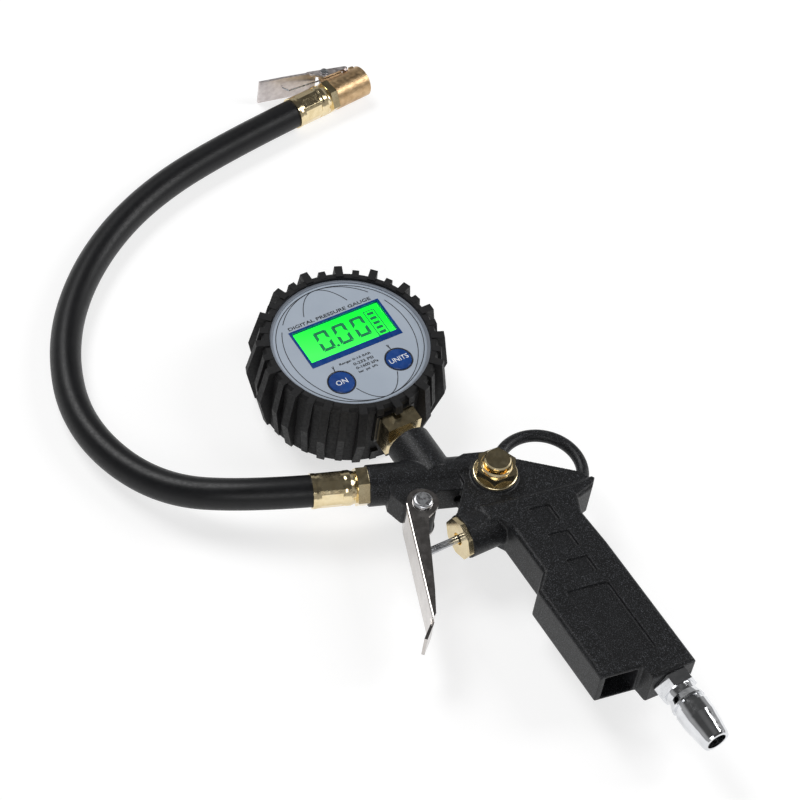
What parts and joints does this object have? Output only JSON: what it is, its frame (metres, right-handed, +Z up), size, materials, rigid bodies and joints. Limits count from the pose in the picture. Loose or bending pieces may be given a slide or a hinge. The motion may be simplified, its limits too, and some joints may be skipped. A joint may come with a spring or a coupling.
{
  "type": "tyre inflator gun",
  "caption": "Pistol-grip tyre inflator with trigger valve, bleed button, digital gauge in a tread-pattern rubber boot, rubber hose and clip-on valve chuck.",
  "frame": {"origin": "middle of the footprint of the gun with its gauge (without the hose), on the surface it lies on", "axes": "+Z up out of the dial; +Y from the inlet plug towards the gauge; +X from the trigger side of the gun towards the hanging loop"},
  "size_m": [0.2254, 0.366, 0.0383],
  "materials": {
    "casting": "speckled black powder coat, semi-gloss",
    "chrome": "bright chrome plate",
    "brass": "machined, bright",
    "brass_dull": "cast, dull",
    "lever_steel": "bright nickel plated pressed steel, lightly worn",
    "pin_steel": "plain steel",
    "nickel": "nickel plated, satin",
    "spring_steel": "drawn wire",
    "seal_rubber": "moulded",
    "hose_rubber": "satin",
    "boot_rubber": "matt, moulded",
    "case_plastic": "fine grain",
    "case_black": "fine grain",
    "face_print": "printed, satin",
    "blue_plastic": "smooth",
    "glass": "clear, green lit",
    "lcd_green": "lit",
    "button_plastic": "smooth",
    "board": "solder mask",
    "cell": "printed sleeve",
    "contact": "nickel plated"
  },
  "bodies": {
    "gun": {"body_casting": "casting", "inlet_plug": "chrome", "trigger_pin": "pin_steel", "valve_gland": "brass", "gland_seal": "seal_rubber", "valve_spring": "spring_steel", "bleed_washer": "brass", "bleed_nut": "brass", "bleed_spring": "spring_steel", "near_ferrule": "brass", "near_fitting": "brass", "hose": "hose_rubber", "far_ferrule": "brass", "far_fitting": "brass", "chuck_body": "brass_dull", "chuck_seal": "seal_rubber", "valve_depressor": "brass", "chuck_pin": "pin_steel", "gauge_boot": "boot_rubber", "case_front": "case_plastic", "case_back": "case_black", "case_screws": "pin_steel", "faceplate": "face_print", "lcd_frame": "blue_plastic", "lcd_glass": "glass", "lcd_backlight": "lcd_green", "switch_on": "case_black", "switch_units": "case_black", "circuit_board": "board", "battery_tray": "case_black", "battery_cover": "case_black", "battery_contacts": "contact", "battery_a": "cell", "battery_b": "cell", "gauge_stem": "brass", "stem_nut": "brass", "pressure_sensor": "pin_steel"},
    "trigger": {"trigger_lever": "lever_steel"},
    "main_valve": {"valve_stem": "pin_steel", "valve_poppet": "brass", "poppet_seal": "seal_rubber"},
    "bleed_valve": {"bleed_button": "brass", "bleed_poppet": "brass", "bleed_seal": "seal_rubber"},
    "on_button": {"button_on": "button_plastic"},
    "units_button": {"button_units": "button_plastic"},
    "chuck_clip": {"chuck_lever": "nickel", "chuck_spring": "spring_steel"}
  },
  "joints": [
    {"name": "trigger_squeeze", "type": "hinge", "parent": "gun", "child": "trigger", "pos_m": [-0.01925, -0.00201, 0.0206], "axis": [0, 0, 1], "range_deg": [0, 11], "stiffness_Nm_per_rad": 0.6, "springref_deg": -20.05},
    {"name": "valve_push", "type": "slide", "parent": "gun", "child": "main_valve", "axis": [0.9397, 0.342, 0], "range_m": [0, 0.0036], "deforming": ["valve_spring"]},
    {"name": "bleed_push", "type": "slide", "parent": "gun", "child": "bleed_valve", "axis": [0, 0, -1], "range_m": [0, 0.0011], "stiffness_N_per_m": 1500, "springref_m": -0.002, "deforming": ["bleed_spring"]},
    {"name": "on_push", "type": "slide", "parent": "gun", "child": "on_button", "axis": [0, 0, -1], "range_m": [0, 0.0004], "stiffness_N_per_m": 2000, "springref_m": -0.0005},
    {"name": "units_push", "type": "slide", "parent": "gun", "child": "units_button", "axis": [0, 0, -1], "range_m": [0, 0.0004], "stiffness_N_per_m": 2000, "springref_m": -0.0005},
    {"name": "clip_squeeze", "type": "hinge", "parent": "gun", "child": "chuck_clip", "pos_m": [-0.01334, 0.2427, 0.007], "axis": [0, 0, 1], "range_deg": [0, 12], "stiffness_Nm_per_rad": 0.25, "springref_deg": -17.19}
  ],
  "couplings": [
    {"joint": "valve_push", "follows": "trigger_squeeze", "m_per_rad": 0.0181}
  ]
}
